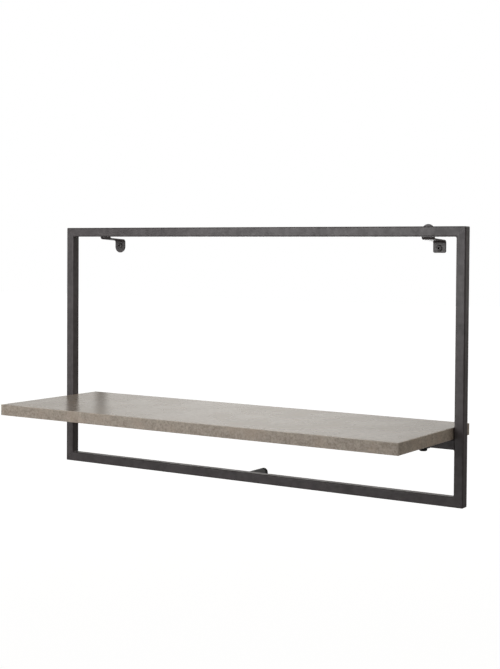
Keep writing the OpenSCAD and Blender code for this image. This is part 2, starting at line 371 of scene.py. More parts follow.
@dataclass(frozen=True)
class Clouds:
    """One layer of soft clouds in a finish, with its share of the finish's tone."""

    scale: float
    detail: float
    contrast: float
    share: float = 1.0

    def add(self, graph: Graph, place: Input) -> bpy.types.NodeSocket:
        """Adds the layer to a graph and returns it."""
        look = {"Scale": self.scale, "Detail": self.detail, "Contrast": self.contrast}
        return EFFECTS.use(graph, Effect.CLOUDS, Vector=place, **look)


@dataclass(frozen=True)
class Finish(ABC):
    """A finish of the shelf. Each kind fills its own Principled shader."""

    name: str

    def material(self) -> bpy.types.Material:
        """Builds the material, or returns it if it is there already.

        Returns:
            The finish's one material.
        """
        found = bpy.data.materials.get(self.name)
        if found is not None:
            return found
        made = bpy.data.materials.new(self.name)
        graph = emptied(made)
        shader = graph.add("ShaderNodeBsdfPrincipled")
        graph.add("ShaderNodeOutputMaterial", {"Surface": shader.outputs["BSDF"]})
        self.fill(graph, shader)
        return made

    @abstractmethod
    def fill(self, graph: Graph, shader: bpy.types.Node) -> None:
        """Adds the finish's nodes and feeds the shader with them.

        Args:
            graph: The material's graph.
            shader: Its Principled node.
        """

    @staticmethod
    def bump(graph: Graph, shader: bpy.types.Node, height: Input, depth: float) -> None:
        """Feeds the shader's normal from a height.

        Args:
            graph: The material's graph.
            shader: Its Principled node.
            height: The height, from about nought to one.
            depth: What one unit of height stands for, in metres.
        """
        made = graph.add("ShaderNodeBump", {"Height": height, "Distance": depth, "Strength": 1.0})
        graph.tree.links.new(made.outputs["Normal"], shader.inputs["Normal"])


@dataclass(frozen=True)
class PowderCoat(Finish):
    """Satin powder coat on steel: a fine orange peel, a soft change of tone and a slightly glossier arris
    with a painted highlight.
    """

    dark: Triple
    light: Triple
    roughness: float = 0.4
    roughness_spread: float = 0.07
    layers: tuple[Clouds, ...] = (
        Clouds(22.0, 3.0, 2.8, 0.35),
        Clouds(150.0, 5.0, 3.6, 0.4),
        Clouds(1500.0, 2.0, 1.4, 0.25),
    )
    peel_scale: float = 900.0
    fine_peel_scale: float = 3200.0
    peel_depth: float = 0.03 * MM
    arris_highlight: float = 0.15
    mitre_lift: float = 0.0
    mitre_width: float = 0.9 * MM
    frame_centre: Triple = ORIGIN
    frame_half: Triple = ONES
    tube: float = 0.0

    def fill(self, graph: Graph, shader: bpy.types.Node) -> None:
        """Adds the tone with the painted arris highlight and the mitre lines in it, and the peel.

        Args:
            graph: The material's graph.
            shader: Its Principled node.
        """
        place = graph.place()
        # Painted highlight: the tone is lifted on the rounded arrises, so they render lighter as if they
        # caught the light.
        tone = EFFECTS.use(graph, Effect.ARRIS, Strength=self.arris_highlight)
        for layer in self.layers:
            tone = graph.maths("MULTIPLY_ADD", layer.add(graph, place), layer.share, tone)
        if self.tube > 0:
            mitre = EFFECTS.use(
                graph, Effect.MITRE, Vector=place, Centre=self.frame_centre, Half_Size=self.frame_half,
                Tube=self.tube, Width=self.mitre_width,
            )
            tone = graph.maths("MULTIPLY_ADD", mitre, self.mitre_lift, tone)
        colour = graph.mix(tone, rgba(self.dark), rgba(self.light))
        dull = self.roughness + self.roughness_spread
        rough = graph.ramp(tone, 0.1, 1.0, dull, self.roughness - self.roughness_spread)
        graph.feed(shader, {"Base Color": colour, "Roughness": rough})
        scales = {"Coarse_Scale": self.peel_scale, "Fine_Scale": self.fine_peel_scale}
        self.bump(graph, shader, EFFECTS.use(graph, Effect.GRAIN, Vector=place, **scales), self.peel_depth)


@dataclass(frozen=True)
class ScrewPaint(PowderCoat):
    """Satin paint on a screw's head, with painted shade in its recess: a near-black spot round the axis."""

    axis: Triple = ORIGIN
    # Radius, inner share and colour of the painted shade in the recess.
    recess_shade_radius: float = 1.7 * MM
    recess_shade_share: float = 0.6
    recess_shade: Triple = (0.003, 0.003, 0.003)

    def fill(self, graph: Graph, shader: bpy.types.Node) -> None:
        """Adds the paint, then the painted shade: a dark spot round the screw's axis, which lies along Y.

        Args:
            graph: The material's graph.
            shader: Its Principled node.
        """
        super().fill(graph, shader)
        painted = shader.inputs["Base Color"].links[0].from_socket
        away = graph.vectors("SUBTRACT", graph.place(), self.axis)
        radius = graph.vectors("LENGTH", graph.vectors("MULTIPLY", away, (1.0, 0.0, 1.0)))
        # Painted shade: the colour darkens to near black within this radius of the axis, where shade falls in
        # the recess.
        painted_shade = graph.ramp(radius, self.recess_shade_share * self.recess_shade_radius, self.recess_shade_radius, 1.0, 0.0)
        graph.feed(shader, {"Base Color": graph.mix(painted_shade, painted, rgba(self.recess_shade))})


@dataclass(frozen=True)
class ConcreteDecor(Finish):
    """Printed concrete look on laminate or edge band.

    It has clouds, mottling and fine grain, which are its layers in that order, faint streaks, light specks
    and dark pits.
    """

    dark: Triple
    light: Triple
    warm: Triple
    speck: Triple
    pit: Triple
    roughness: float
    roughness_spread: float = 0.015
    layers: tuple[Clouds, ...] = (
        Clouds(16.0, 5.0, 2.2, 0.35),
        Clouds(130.0, 6.0, 4.2, 0.3),
        Clouds(360.0, 3.0, 2.0, 0.2),
    )
    streak_scale: float = 170.0
    streak_stretch: Triple = (0.12, 1.0, 1.0)
    streak_share: float = 0.15
    warmth: Clouds = Clouds(31.0, 3.0, 2.0, 0.5)
    speck_scale: float = 900.0
    speck_threshold: float = 0.57
    speck_share: float = 0.2
    pit_scale: float = 600.0
    pit_threshold: float = 0.6
    pit_share: float = 0.16
    pit_offset: Triple = (3.1, 1.7, 0.9)
    pit_sink: float = 0.5
    emboss_scale: float = 520.0
    fine_emboss_scale: float = 1900.0
    emboss_depth: float = 0.012 * MM
    arris_highlight: float = 0.0
    joint_centre: Triple = ORIGIN
    joint_half: Triple = ONES
    joint_width: float = 0.25 * MM
    joint_share: float = 0.5
    joint: Triple = (0.05, 0.04, 0.03)

    def print_tone(
        self, graph: Graph, place: Input, clouds: list[bpy.types.NodeSocket]
    ) -> bpy.types.NodeSocket:
        """Adds the sum of the layers and the streaks, each times its share.

        Args:
            graph: The material's graph.
            place: The Object coordinates.
            clouds: The layers' outputs.

        Returns:
            The tone, from about nought to one.
        """
        streaks = {"Stretch": self.streak_stretch, "Scale": self.streak_scale}
        streak = EFFECTS.use(graph, Effect.BRUSHING, Vector=place, **streaks)
        tone = graph.maths("MULTIPLY", streak, self.streak_share)
        for cloud, layer in zip(clouds, self.layers):
            tone = graph.maths("MULTIPLY_ADD", cloud, layer.share, tone)
        return tone

    def fill(self, graph: Graph, shader: bpy.types.Node) -> None:
        """Adds the print, the joint line beside the band, the lighter arris (stress-whitening with a painted
        highlight), the matt emboss and the sheen.

        Args:
            graph: The material's graph.
            shader: Its Principled node.
        """
        place = graph.place()
        clouds = [layer.add(graph, place) for layer in self.layers]
        colour = graph.mix(self.print_tone(graph, place, clouds), rgba(self.dark), rgba(self.light))
        warmth = graph.ramp(self.warmth.add(graph, place), 0.5, 0.9, 0.0, self.warmth.share)
        specks = EFFECTS.use(
            graph, Effect.SPECKS, Vector=place, Scale=self.speck_scale, Threshold=self.speck_threshold
        )
        moved = graph.vectors("ADD", place, self.pit_offset)
        pits = EFFECTS.use(
            graph, Effect.SPECKS, Vector=moved, Scale=self.pit_scale, Threshold=self.pit_threshold
        )
        line = EFFECTS.use(
            graph, Effect.BORDER, Vector=place, Centre=self.joint_centre, Half_Size=self.joint_half,
            Width=self.joint_width,
        )
        for share, over in (
            (warmth, self.warm),
            (graph.maths("MULTIPLY", specks, self.speck_share), self.speck),
            (graph.maths("MULTIPLY", pits, self.pit_share), self.pit),
            # Lighter arris: partly the stress-whitening of the scraped radius, partly a painted highlight.
            (EFFECTS.use(graph, Effect.ARRIS, Strength=self.arris_highlight), self.speck),
            (graph.maths("MULTIPLY", line, self.joint_share), self.joint),
        ):
            colour = graph.mix(share, colour, rgba(over))
        glossy = self.roughness - self.roughness_spread
        rough = graph.ramp(clouds[0], 0.1, 0.9, glossy, self.roughness + self.roughness_spread)
        graph.feed(shader, {"Base Color": colour, "Roughness": rough})
        scales = {"Coarse_Scale": self.emboss_scale, "Fine_Scale": self.fine_emboss_scale}
        emboss = EFFECTS.use(graph, Effect.GRAIN, Vector=place, **scales)
        self.bump(graph, shader, graph.maths("MULTIPLY_ADD", pits, -self.pit_sink, emboss), self.emboss_depth)


@dataclass(frozen=True)
class Chipboard(Finish):
    """Raw chipboard: pressed flakes of several wood tones."""

    dark: Triple = (0.25, 0.15, 0.08)
    light: Triple = (0.62, 0.45, 0.27)
    roughness: float = 0.85
    flake_scale: float = 420.0
    flake_squash: Triple = (1.0, 1.0, 2.5)
    flake_share: float = 0.6
    flake_height: float = 0.5
    fibre_scale: float = 1400.0
    fibre_stretch: Triple = (0.2, 1.0, 1.0)
    fibre_share: float = 0.4
    relief: float = 0.12 * MM

    def fill(self, graph: Graph, shader: bpy.types.Node) -> None:
        """Adds flat flakes in random tones, with fibre lines in them.

        Args:
            graph: The material's graph.
            shader: Its Principled node.
        """
        place = graph.place()
        flat = graph.vectors("MULTIPLY", place, self.flake_squash)
        flakes = graph.add("ShaderNodeTexVoronoi", {"Vector": flat, "Scale": self.flake_scale})
        flake = graph.add("ShaderNodeSeparateColor", {0: flakes.outputs["Color"]}).outputs[0]
        fibre = EFFECTS.use(
            graph, Effect.BRUSHING, Vector=place, Stretch=self.fibre_stretch, Scale=self.fibre_scale
        )
        tone = graph.maths("MULTIPLY", flake, self.flake_share)
        tone = graph.maths("MULTIPLY_ADD", fibre, self.fibre_share, tone)
        colour = graph.mix(tone, rgba(self.dark), rgba(self.light))
        graph.feed(shader, {"Base Color": colour, "Roughness": self.roughness})
        height = graph.maths("MULTIPLY_ADD", flake, self.flake_height, fibre)
        self.bump(graph, shader, height, self.relief)


@dataclass(frozen=True)
class Plated(Finish):
    """Plated or blackened steel: turned lines and a cloudy tone."""

    dark: Triple
    light: Triple
    metallic: float = 1.0
    roughness: float = 0.35
    duller: float = 0.08
    glossier: float = 0.06
    clouds: Clouds = Clouds(180.0, 4.0, 1.8, 0.65)
    line_scale: float = 1500.0
    line_stretch: Triple = (1.0, 4.0, 1.0)
    line_share: float = 0.35
    line_depth: float = 0.01 * MM

    def fill(self, graph: Graph, shader: bpy.types.Node) -> None:
        """Adds the tone and the lines.

        Args:
            graph: The material's graph.
            shader: Its Principled node.
        """
        place = graph.place()
        lines = EFFECTS.use(
            graph, Effect.BRUSHING, Vector=place, Stretch=self.line_stretch, Scale=self.line_scale
        )
        tone = graph.maths("MULTIPLY", self.clouds.add(graph, place), self.clouds.share)
        tone = graph.maths("MULTIPLY_ADD", lines, self.line_share, tone)
        colour = graph.mix(tone, rgba(self.dark), rgba(self.light))
        rough = graph.ramp(tone, 0.2, 0.8, self.roughness + self.duller, self.roughness - self.glossier)
        graph.feed(shader, {"Base Color": colour, "Metallic": self.metallic, "Roughness": rough})
        self.bump(graph, shader, lines, self.line_depth)


@dataclass(frozen=True)
class Moulded(Finish):
    """Moulded plastic or rubber: an eroded fine texture and a faint bloom."""

    dark: Triple
    light: Triple
    roughness: float
    texture_scale: float
    texture_depth: float
    duller: float = 0.06
    glossier: float = 0.04
    clouds: Clouds = Clouds(130.0, 5.0, 1.8)

    def fill(self, graph: Graph, shader: bpy.types.Node) -> None:
        """Adds the texture and the bloom.

        Args:
            graph: The material's graph.
            shader: Its Principled node.
        """
        place = graph.place()
        bloom = self.clouds.add(graph, place)
        colour = graph.mix(bloom, rgba(self.dark), rgba(self.light))
        rough = graph.ramp(bloom, 0.1, 0.9, self.roughness - self.glossier, self.roughness + self.duller)
        graph.feed(shader, {"Base Color": colour, "Roughness": rough})
        scales = {"Coarse_Scale": self.texture_scale, "Fine_Scale": 3.0 * self.texture_scale}
        self.bump(graph, shader, EFFECTS.use(graph, Effect.GRAIN, Vector=place, **scales), self.texture_depth)


PAINT_DARK: Triple = (0.044, 0.0365, 0.0375)
PAINT_LIGHT: Triple = (0.084, 0.072, 0.0735)
FRAME_PAINT = PowderCoat("frame_satin_paint", dark=PAINT_DARK, light=PAINT_LIGHT, mitre_lift=1.0)
BRACKET_PAINT = PowderCoat("bracket_satin_paint", dark=PAINT_DARK, light=PAINT_LIGHT, roughness=0.38)
SCREW_PAINT = ScrewPaint(
    "screw_satin_paint", dark=(0.06, 0.055, 0.055), light=(0.11, 0.1, 0.1), roughness=0.33
)
CHIPBOARD = Chipboard("raw_chipboard")
ZINC = Plated("zinc_plate", dark=(0.45, 0.45, 0.44), light=(0.72, 0.72, 0.7))
YELLOW_ZINC = Plated("yellow_zinc_plate", dark=(0.42, 0.31, 0.12), light=(0.7, 0.6, 0.33))
BLACK_OXIDE = Plated(
    "black_oxide", dark=(0.016, 0.016, 0.017), light=(0.035, 0.034, 0.034), metallic=0.3, roughness=0.4
)
BLACK_PLASTIC = Moulded(
    "black_moulded_plastic", dark=(0.018, 0.018, 0.019), light=(0.028, 0.028, 0.029), roughness=0.5,
    texture_scale=1400.0, texture_depth=0.03 * MM,
)
BLACK_RUBBER = Moulded(
    "black_rubber", dark=(0.012, 0.012, 0.012), light=(0.026, 0.026, 0.027), roughness=0.75,
    texture_scale=800.0, texture_depth=0.05 * MM,
)


# Meshes

NEW_MERGE = 0.001 * MM
NEW_SHARP_DEG = 35.0
CAD_MERGE = 0.002 * MM
CAD_FLATTEN_DEG = 0.5
CAD_SHARP_DEG = 30.0
BREAK_OVER_DEG = 40.0
BREAK_SEGMENTS = 2


@dataclass(frozen=True)
class Surface:
    """A grid of points in space, as rows of columns, whose columns may close on themselves."""

    points: np.ndarray
    wraps: bool = True

    def quads(self) -> np.ndarray:
        """Works out the faces: each point with its next column, in its row and in the next one.

        Returns:
            The corner numbers, four for each face.
        """
        rows, columns = self.points.shape[:2]
        row, column = np.mgrid[0 : rows - 1, 0 : columns if self.wraps else columns - 1]
        beside = (column + 1) % columns
        here = row * columns
        above = here + columns
        corners = (here + column, here + beside, above + beside, above + column)
        return np.stack(corners, axis=-1).reshape(-1, 4)


def new_piece(name: str, surfaces: list[Surface]) -> bpy.types.Object:
    """Makes one piece from surfaces. Points that coincide are merged, so poles and seams close.

    Args:
        name: The piece's name.
        surfaces: Its surfaces, in the row frame, in metres.

    Returns:
        The new object, at the origin.
    """
    starts = np.cumsum([0] + [s.points[..., 0].size for s in surfaces[:-1]])
    points = np.concatenate([s.points.reshape(-1, 3) for s in surfaces])
    quads = np.concatenate([s.quads() + start for s, start in zip(surfaces, starts)])
    mesh = bpy.data.meshes.new(name)
    mesh.from_pydata(points.tolist(), [], quads.tolist())
    cleaned(mesh, NEW_MERGE)
    return finished(name, mesh, NEW_SHARP_DEG)


def cleaned(mesh: bpy.types.Mesh, distance: float, flatten_deg: float = 0.0) -> None:
    """Merges doubled points, drops faces with no area and turns the faces outwards.

    Args:
        mesh: The mesh to change.
        distance: Points nearer than this are one.
        flatten_deg: Where above nought, faces that lie within this angle of each other become one.
    """
    work = bmesh.new()
    work.from_mesh(mesh)
    bmesh.ops.remove_doubles(work, verts=work.verts, dist=distance)
    bmesh.ops.dissolve_degenerate(work, edges=work.edges, dist=distance)
    if flatten_deg > 0:
        limit = math.radians(flatten_deg)
        bmesh.ops.dissolve_limit(
            work, angle_limit=limit, verts=work.verts, edges=work.edges, use_dissolve_boundaries=False
        )
    bmesh.ops.recalc_face_normals(work, faces=work.faces)
    work.to_mesh(mesh)
    work.free()


def finished(name: str, mesh: bpy.types.Mesh, sharp_deg: float) -> bpy.types.Object:
    """Shades a mesh smooth but for its sharp edges, and puts it in the scene at the origin.

    Args:
        name: The object's name.
        mesh: The mesh.
        sharp_deg: Edges that turn by more than this angle stay sharp.

    Returns:
        The new object.
    """
    mesh.shade_smooth()
    mesh.set_sharp_from_angle(angle=math.radians(sharp_deg))
    made = bpy.data.objects.new(name, mesh)
    bpy.context.scene.collection.objects.link(made)
    return made


def dress(piece: bpy.types.Object, finish: Finish) -> None:
    """Gives a piece its one finish."""
    piece.data.materials.clear()
    piece.data.materials.append(finish.material())


def add_piece(piece: bpy.types.Object, finish: Finish, replaces: tuple[str, ...] = ()) -> None:
    """Dresses a new piece, lets it ride on the shelf and hides the CAD nodes that it stands for.

    Args:
        piece: The finished piece.
        finish: Its finish.
        replaces: The CAD nodes that it stands for.
    """
    dress(piece, finish)
    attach(piece, ROOT)
    if replaces:
        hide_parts(*replaces)
    log.info("piece %s: %d faces", piece.name, len(piece.data.polygons))


def softened_copy(node: str, name: str, finish: Finish, width: float) -> None:
    """Adds a copy of a CAD node with its sharp edges broken, as pressing, plating and paint leave them.

    The copy stands for the node.

    Args:
        node: The CAD node.
        name: The new piece's name.
        finish: Its finish.
        width: The width of the broken edge, in metres.
    """
    mesh = frame["nodes"][node].data.copy()
    mesh.name = name
    cleaned(mesh, CAD_MERGE, CAD_FLATTEN_DEG)
    piece = finished(name, mesh, CAD_SHARP_DEG)
    bevel = piece.modifiers.new("broken_edges", "BEVEL")
    bevel.width = width
    bevel.segments = BREAK_SEGMENTS
    bevel.limit_method = "ANGLE"
    bevel.angle_limit = math.radians(BREAK_OVER_DEG)
    bevel.harden_normals = True
    add_piece(piece, finish, (node,))


# Sub-assemblies


@dataclass
class SteelFrame:
    """The frame of mitred square tubes, with its weld beads."""

    tubes: tuple[str, ...] = ("top_rail", "bottom_rail", "left_post", "right_post", "cross_rail")
    bead_radius: float = 1.4 * MM
    ripple_pitch: float = 1.1 * MM
    ripple_depth: float = 0.16 * MM
    ripple_lag: float = 0.35
    end_power: int = 6
    end_root: int = 4
    rows: int = 72
    arc_columns: int = 9

    def bead(self, corner: Vector, towards_x: int, towards_z: int, length: float) -> Surface:
        """Works out one weld bead that runs along Y in the corner of two tubes.

        The section is the corner point and a quarter circle. Its radius falls to nought at both ends by a
        root of one minus a power of the place along the bead, and ripples by the absolute value of a sine
        whose phase lags at the bead's flanks, which makes the crescents of a weld.

        Args:
            corner: The middle of the corner's line.
            towards_x: Side that the bead fills, as 1 or -1 along X.
            towards_z: Side that the bead fills, as 1 or -1 along Z.
            length: The bead's length.

        Returns:
            The bead's closed surface.
        """
        along, angle = np.meshgrid(
            np.linspace(-1, 1, self.rows), np.linspace(0, math.pi / 2, self.arc_columns), indexing="ij"
        )
        y = along * length / 2
        lag = self.ripple_lag * self.ripple_pitch * np.cos(4 * (angle - math.pi / 4))
        ripple = np.abs(np.sin(math.pi * (y + lag) / self.ripple_pitch))
        ends = (1 - along**self.end_power) ** (1 / self.end_root)
        radius = (self.bead_radius - self.ripple_depth * (1 - ripple)) * ends
        across = towards_x * radius * np.cos(angle)
        up = towards_z * radius * np.sin(angle)
        arc = np.stack([corner.x + across, corner.y + y, corner.z + up], axis=-1)
        root = np.array([(corner.x, corner.y + place, corner.z) for place in y[:, 0]])
        return Surface(np.concatenate([root[:, None], arc], axis=1))

    def paint(self) -> PowderCoat:
        """Makes the frame's paint, whose ground mitres lie on the diagonals of the tubes' corners.

        Returns:
            The paint.
        """
        boxes = [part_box(node) for node in self.tubes]
        low = Vector([min(box[0][axis] for box in boxes) for axis in range(3)])
        high = Vector([max(box[1][axis] for box in boxes) for axis in range(3)])
        rail_low, rail_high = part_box("top_rail")
        return replace(
            FRAME_PAINT, frame_centre=tuple((low + high) / 2), frame_half=tuple((high - low) / 2),
            tube=rail_high.z - rail_low.z,
        )

    def build(self) -> None:
        """Paints the tubes and lays the beads where the CAD beads are."""
        paint = self.paint()
        for node in self.tubes:
            dress(frame["nodes"][node], paint)
        inner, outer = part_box("corner_weld_beads")
        low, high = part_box("cross_rail_weld_beads")
        length = outer.y - inner.y
        middle = (outer.y + inner.y) / 2
        corners = [
            self.bead(Vector((x, middle, z)), -side_x, side_z, length)
            for side_x, x in ((-1, inner.x), (1, outer.x))
            for side_z, z in ((1, inner.z), (-1, outer.z))
        ]
        add_piece(new_piece("corner_welds", corners), paint, ("corner_weld_beads",))
        under = [
            self.bead(Vector((x, middle, high.z)), -side_x, -1, length)
            for side_x, x in ((-1, low.x), (1, high.x))
        ]
        add_piece(new_piece("cross_rail_welds", under), paint, ("cross_rail_weld_beads",))


@dataclass
class LaminatedBoard:
    """The board: a chipboard core between two laminates, with a band on each edge."""

    sheets: tuple[tuple[str, float], ...] = (("top", 0.27), ("bottom", 0.36))
    long_bands: tuple[str, ...] = ("front_edge_band", "back_edge_band")
    end_bands: tuple[str, ...] = ("left_edge_band", "right_edge_band")
    dark: Triple = (0.2, 0.164, 0.13)
    light: Triple = (0.4, 0.34, 0.28)
    warm: Triple = (0.34, 0.265, 0.205)
    speck: Triple = (0.5, 0.44, 0.37)
    pit: Triple = (0.12, 0.1, 0.082)
    sheet_emboss: float = 0.002 * MM
    band_roughness: float = 0.42
    band_layers: tuple[Clouds, ...] = (
        Clouds(16.0, 5.0, 2.2, 0.2),
        Clouds(130.0, 6.0, 4.2, 0.38),
        Clouds(360.0, 3.0, 8.0, 0.3),
    )
    long_band_lift: float = 1.06
    # Painted light: the end bands' copy is made lighter than the long bands' to make up for the little light
    # that reaches the board's ends.
    end_band_painted_lift: float = 1.22
    end_streak_stretch: Triple = (1.0, 0.12, 1.0)

    def decor(self, name: str, roughness: float, lift: float = 1.0, **more: object) -> ConcreteDecor:
        """Makes a decor in the board's colours.

        Args:
            name: The finish's name.
            roughness: Its roughness.
            lift: How much lighter than the board's colours the copy is made.
            **more: Other fields of the decor.

        Returns:
            The finish.
        """
        names = ("dark", "light", "warm", "speck", "pit")
        tones = {tone: tuple(lift * part for part in getattr(self, tone)) for tone in names}
        return ConcreteDecor(name, roughness=roughness, **tones, **more)

    def build(self) -> None:
        """Dresses the core, the sheets with their glue lines, and the bands, whose print runs along them."""
        dress(frame["nodes"]["board_core"], CHIPBOARD)
        for side, roughness in self.sheets:
            low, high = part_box(f"{side}_laminate")
            sheet = self.decor(
                f"{side}_concrete_decor", roughness, emboss_depth=self.sheet_emboss,
                joint_centre=tuple((low + high) / 2), joint_half=tuple((high - low) / 2),
            )
            dress(frame["nodes"][f"{side}_laminate"], sheet)
        # The bands' arris is lighter: stress-whitening of the scraped radius and a painted highlight.
        look = {
            "roughness": self.band_roughness, "layers": self.band_layers, "streak_share": 0.12,
            "speck_share": 0.4, "pit_share": 0.35, "arris_highlight": 0.8,
        }
        long_band = self.decor("long_band_concrete_decor", lift=self.long_band_lift, **look)
        # The end bands get the lighter copy: painted light.
        end_band = self.decor(
            "end_band_concrete_decor", lift=self.end_band_painted_lift, streak_stretch=self.end_streak_stretch, **look
        )
        for nodes, finish in ((self.long_bands, long_band), (self.end_bands, end_band)):
            for node in nodes:
                dress(frame["nodes"][node], finish)


@dataclass
class WallBrackets:
    """The two pressed brackets, with the screws and rivet nuts that hold them to the top rail."""

    edge_break: float = 0.35 * MM
    screw_edge_break: float = 0.12 * MM

    def build(self) -> None:
        """Breaks the brackets' edges, paints them and dresses their fasteners."""
        for side in ("left", "right"):
            node, name = f"{side}_wall_bracket", f"{side}_bracket_pressing"
            softened_copy(node, name, BRACKET_PAINT, self.edge_break)
        width = self.screw_edge_break
        softened_copy("bracket_screws", "bracket_pan_screws", BLACK_OXIDE, width)
        dress(frame["nodes"]["bracket_rivet_nuts"], ZINC)


@dataclass
class WallScrews:
    """The two pan-head screws that hold the brackets' feet to the wall. They end at the wall plane."""

    head_radius: float = 4.1 * MM
    head_height: float = 2.0 * MM
    shank_radius: float = 2.0 * MM
    recess_length: float = 4.0 * MM
    recess_width: float = 0.8 * MM
    recess_depth: float = 1.3 * MM
    recess_wall: float = 0.3 * MM
    pit_radius: float = 1.5 * MM
    pit_depth: float = 2.4 * MM
    pit_steepness: float = 1.6
    roundness: float = 3.6
    play: float = 0.7 * MM
    angles: int = 96
    dome_rows: int = 40
    holes: tuple[tuple[str, str, int], ...] = (
        ("left_wall_screw", "left_wall_hole", 1),
        ("right_wall_screw", "right_wall_hole", -1),
    )

    def recess(self, across: np.ndarray, up: np.ndarray) -> np.ndarray:
        """Depth of the cross recess at places on the head.

        Each of two crossed slots is full depth within its half width, rises smoothly to nought over the
        width of its wall beyond it, and gets shallower towards its ends as the square of the place along
        it. The pit where they cross is a round cone with a flat bottom. The deepest of the three counts.

        Args:
            across: Places across the head.
            up: Places up the head.

        Returns:
            The depths.
        """

        def slot(along: np.ndarray, beside: np.ndarray) -> np.ndarray:
            """Works out the depth of one slot.

            Args:
                along: Distances from the screw's axis along the slot.
                beside: Distances from the slot's middle.

            Returns:
                The depths.
            """
            over = self.recess_width / 2 + self.recess_wall - np.abs(beside)
            wall = np.clip(over / self.recess_wall, 0, 1)
            taper = np.clip(1 - (2 * along / self.recess_length) ** 2, 0, 1)
            return self.recess_depth * wall * wall * (3 - 2 * wall) * taper

        inwards = 1 - np.hypot(across, up) / self.pit_radius
        pit = self.pit_depth * np.clip(self.pit_steepness * inwards, 0, 1)
        return np.maximum(np.maximum(slot(across, up), slot(up, across)), pit)

    def surface(self, hole: Vector, seat: float) -> Surface:
        """Works out a screw in its hole: the dome less its recess, the head's seat and the shank.

        The dome's height over its seat is the head's height times the n-th root of one minus the n-th power
        of the radius' share, where n is the roundness: a superellipse between a ball and a flat disc.

        Args:
            hole: The screw's axis at the wall plane.
            seat: The Y of the bracket's face, on which the head rests.

        Returns:
            The screw's closed surface.
        """
        turn = np.linspace(0, 2 * math.pi, self.angles, endpoint=False)
        share = np.sin(np.linspace(0, math.pi / 2, self.dome_rows))
        dome = self.head_height * (1 - share**self.roundness) ** (1 / self.roundness)
        radius = np.concatenate([share * self.head_radius, [self.shank_radius, self.shank_radius, 0.0]])
        height = np.concatenate([dome, [0.0, seat, seat]])
        across = radius[:, None] * np.cos(turn)
        up = radius[:, None] * np.sin(turn)
        on_dome = np.arange(len(radius))[:, None] < self.dome_rows - 1
        height = height[:, None] - np.where(on_dome, self.recess(across, up), 0.0)
        return Surface(np.stack([hole.x + across, seat - height, hole.z + up], axis=-1))

    def build(self) -> None:
        """Puts a screw in each foot, at the side of its hole that it bears on."""
        mounts = {m["name"]: m for m in frame["record"]["mounts"]}
        for name, mount, side in self.holes:
            x, y, z = mounts[mount]["pos_m"]
            seat = y - mounts[mount]["dims"]["length_mm"] * MM / 2
            axis = Vector((x, 0.0, z + side * self.play))
            # Each screw's paint carries painted shade in its recess, round this axis.
            paint = replace(SCREW_PAINT, name=f"{name}_paint", axis=tuple(axis))
            add_piece(new_piece(name, [self.surface(axis, seat)]), paint)


@dataclass
class BoardFastening:
    """The bolts, washers and inserts that hold the board on the cross rail."""

    edge_break: float = 0.15 * MM

    def build(self) -> None:
        """Breaks the bolts' and washers' edges and dresses the inserts."""
        softened_copy("board_bolts", "board_cap_screws", BLACK_OXIDE, self.edge_break)
        softened_copy("board_washers", "board_flat_washers", BLACK_OXIDE, self.edge_break)
        dress(frame["nodes"]["board_inserts"], YELLOW_ZINC)


@dataclass
class WallSpacer:
    """The round spacer behind the bottom rail."""

    edge_break: float = 0.25 * MM

    def build(self) -> None:
        """Dresses the body, the tip, the stud and its rivet nut."""
        softened_copy("spacer_body", "spacer_barrel", BLACK_PLASTIC, self.edge_break)
        dress(frame["nodes"]["spacer_tip"], BLACK_RUBBER)
        dress(frame["nodes"]["spacer_stud"], ZINC)
        dress(frame["nodes"]["spacer_rivet_nut"], ZINC)


# The studio


def direction(azimuth_deg: float, elevation_deg: float) -> Vector:
    """Direction from the shelf: azimuth nought is the front (-Y) and ninety the right (+X).

    Args:
        azimuth_deg: The azimuth.
        elevation_deg: The elevation.

    Returns:
        The unit vector.
    """
    azimuth, elevation = math.radians(azimuth_deg), math.radians(elevation_deg)
    level = math.cos(elevation)
    return Vector((math.sin(azimuth) * level, -math.cos(azimuth) * level, math.sin(elevation)))


@dataclass(frozen=True)
class Softbox:
    """A square lamp that faces the shelf from an azimuth, counted from the front, and an elevation."""

    name: str
    azimuth_deg: float
    elevation_deg: float
    watts: float
    side: float
    distance: float = 2.4
    aim: Triple = (0.0, -0.08, 0.08)

    def hang(self) -> None:
        """Puts the lamp in the scene."""
        lamp = bpy.data.lights.new(self.name, "AREA")
        lamp.shape = "SQUARE"
        lamp.size = self.side
        lamp.energy = self.watts
        made = bpy.data.objects.new(self.name, lamp)
        made.location = self.distance * direction(self.azimuth_deg, self.elevation_deg)
        made.visible_camera = False
        made.rotation_euler = (Vector(self.aim) - made.location).to_track_quat("-Z", "Y").to_euler()
        bpy.context.scene.collection.objects.link(made)


@dataclass(frozen=True)
class Glow:
    """A soft part of the surroundings: strength times a power of the cosine to its direction."""

    azimuth_deg: float
    elevation_deg: float
    strength: float
    power: float = 10.0


